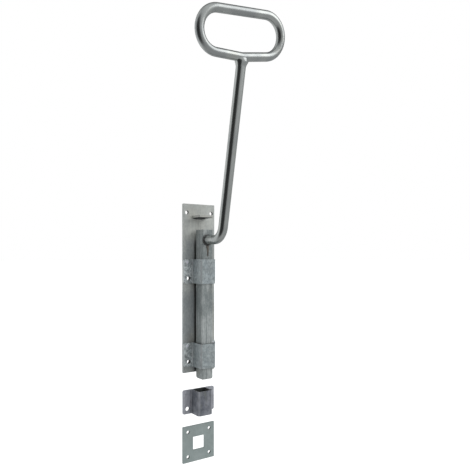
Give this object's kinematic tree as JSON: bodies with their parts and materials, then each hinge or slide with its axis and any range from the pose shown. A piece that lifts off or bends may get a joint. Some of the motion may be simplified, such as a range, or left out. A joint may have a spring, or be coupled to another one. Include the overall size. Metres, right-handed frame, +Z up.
{
  "type": "cane bolt",
  "caption": "Square floor bolt sliding in two straps on a back plate, lifted by a long rod handle with a closed loop grip; with loose keep and floor plate.",
  "frame": {"origin": "middle of the back plate's back face", "axes": "+Z up along the bolt, +X across the plate, +Y out of the plate's back into the door; the handle stands out towards -Y"},
  "size_m": [0.1556, 0.1497, 0.7098],
  "materials": {
    "back_plate": "hot-dip galvanised, satin",
    "stop_tab": "hot-dip galvanised, satin",
    "stop_tab_weld": "galvanised weld bead",
    "upper_strap": "hot-dip galvanised, satin",
    "lower_strap": "hot-dip galvanised, satin",
    "upper_strap_weld_left": "galvanised weld plug",
    "upper_strap_weld_right": "galvanised weld plug",
    "lower_strap_weld_left": "galvanised weld plug",
    "lower_strap_weld_right": "galvanised weld plug",
    "bolt_bar": "hot-dip galvanised, streaked",
    "friction_spring": "spring steel, zinc coated",
    "spring_rivet": "zinc coated",
    "handle_shank": "bright zinc plated",
    "shank_weld": "dark weld bead",
    "grip_loop": "bright zinc plated",
    "loop_weld": "bright weld bead",
    "keep": "hot-dip galvanised, mottled",
    "floor_plate": "hot-dip galvanised, satin",
    "keep_back_wall": "hot-dip galvanised, mottled"
  },
  "bodies": {
    "mounting": {"back_plate": "back_plate", "stop_tab": "stop_tab", "stop_tab_weld": "stop_tab_weld", "upper_strap": "upper_strap", "lower_strap": "lower_strap", "upper_strap_weld_left": "upper_strap_weld_left", "upper_strap_weld_right": "upper_strap_weld_right", "lower_strap_weld_left": "lower_strap_weld_left", "lower_strap_weld_right": "lower_strap_weld_right", "keep": "keep", "keep_back_wall": "keep_back_wall", "floor_plate": "floor_plate"},
    "bolt": {"bolt_bar": "bolt_bar", "friction_spring": "friction_spring", "spring_rivet": "spring_rivet", "handle_shank": "handle_shank", "shank_weld": "shank_weld", "grip_loop": "grip_loop", "loop_weld": "loop_weld"}
  },
  "joints": [
    {"name": "bolt_slide", "type": "slide", "parent": "mounting", "child": "bolt", "axis": [0, 0, 1], "range_m": [-0.02, 0.0195]}
  ]
}
